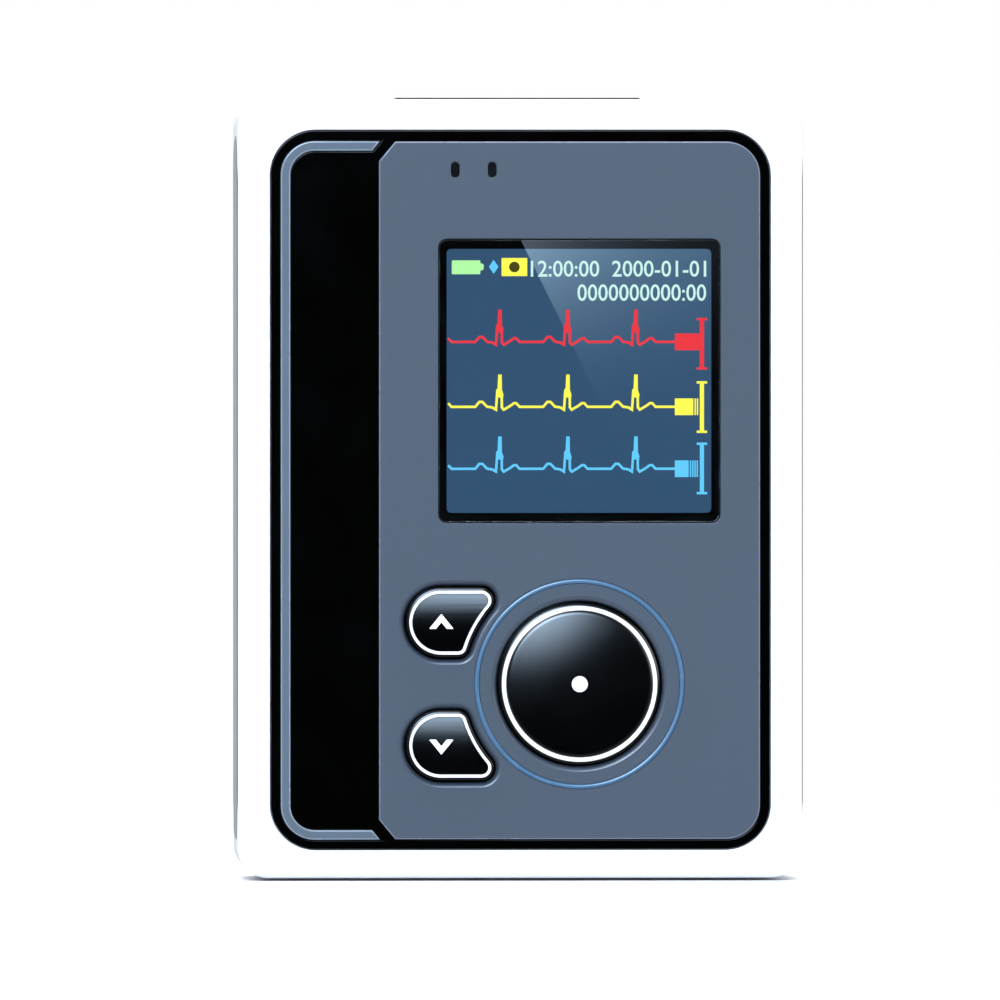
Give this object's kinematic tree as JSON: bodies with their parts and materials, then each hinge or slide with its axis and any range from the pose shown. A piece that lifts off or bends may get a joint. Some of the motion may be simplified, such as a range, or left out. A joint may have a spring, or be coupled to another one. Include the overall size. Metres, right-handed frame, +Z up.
{
  "type": "holter monitor",
  "caption": "Body-worn heart recorder: flat white case, square display, round and two shaped push buttons, lead socket on top, hinged battery door behind.",
  "frame": {"origin": "centre of the bounding box's bottom face, on the surface that the object stands on", "axes": "+Z up the face, -Y out of the face towards the user, +X to the right seen from the front"},
  "size_m": [0.0598, 0.0212, 0.082],
  "materials": {
    "white_shell": "fine satin moulding",
    "soft_grey": "matt soft touch",
    "gloss_black": "polished",
    "socket_black": "matt moulding",
    "trim_blue": "satin paint",
    "panel_blue": "satin metallic paint",
    "halo_blue": "smooth",
    "window_clear": "polished",
    "display_dark": "lit display",
    "bright_rim": "polished",
    "white_mark": "smooth",
    "board_green": "solder mask",
    "chip_black": "moulded",
    "tin": "bright tin plate",
    "steel": "bright",
    "gold": "gold plate",
    "brass": "turned",
    "rubber_grey": "moulded",
    "foam_black": "closed-cell foam",
    "cell_wrap": "shrink wrap",
    "polyimide": "film"
  },
  "bodies": {
    "case": {"front_housing": "white_shell", "rear_cover": "white_shell", "cover_gasket": "rubber_grey", "side_grip_left": "soft_grey", "side_grip_right": "soft_grey", "face_tray": "gloss_black", "accent_trim": "trim_blue", "face_panel": "panel_blue", "halo_ring": "halo_blue", "display_window": "window_clear", "display_glass": "display_dark", "display_backlight": "white_mark", "display_cable": "polyimide", "display_connector": "socket_black", "up_switch": "tin", "down_switch": "tin", "main_switch": "tin", "light_pipe_left": "socket_black", "light_pipe_right": "socket_black", "indicator_lamp_left": "white_mark", "indicator_lamp_right": "white_mark", "main_board": "board_green", "processor_chip": "chip_black", "amplifier_chip": "chip_black", "shield_can": "tin", "radio_module": "tin", "card_socket": "tin", "memory_card": "chip_black", "lead_socket": "socket_black", "lead_contacts": "gold", "battery_cell": "cell_wrap", "battery_contact": "tin", "battery_spring": "steel", "hinge_pin": "steel", "case_screw_1": "steel", "case_screw_2": "steel", "case_screw_3": "steel", "case_screw_4": "steel", "screw_insert_1": "brass", "screw_insert_2": "brass", "screw_insert_3": "brass", "screw_insert_4": "brass", "board_screw_1": "steel", "board_screw_2": "steel", "board_screw_3": "steel", "board_screw_4": "steel"},
    "up_button_body": {"up_button": "gloss_black", "up_button_rim": "bright_rim", "up_button_mark": "white_mark"},
    "down_button_body": {"down_button": "gloss_black", "down_button_rim": "bright_rim", "down_button_mark": "white_mark"},
    "main_button_body": {"main_button": "gloss_black", "main_button_rim": "bright_rim", "main_button_mark": "white_mark"},
    "battery_door_body": {"battery_door": "white_shell", "door_pad": "foam_black"}
  },
  "joints": [
    {"name": "up_press", "type": "slide", "parent": "case", "child": "up_button_body", "axis": [0, 1, 0], "range_m": [0, 0.0004], "stiffness_N_per_m": 1500, "springref_m": -0.0003},
    {"name": "down_press", "type": "slide", "parent": "case", "child": "down_button_body", "axis": [0, 1, 0], "range_m": [0, 0.0004], "stiffness_N_per_m": 1500, "springref_m": -0.0003},
    {"name": "main_press", "type": "slide", "parent": "case", "child": "main_button_body", "axis": [0, 1, 0], "range_m": [0, 0.0004], "stiffness_N_per_m": 1500, "springref_m": -0.0003},
    {"name": "door_hinge", "type": "hinge", "parent": "case", "child": "battery_door_body", "pos_m": [0, 0.0093, 0.0225], "axis": [1, 0, 0], "range_deg": [0, 95]}
  ]
}
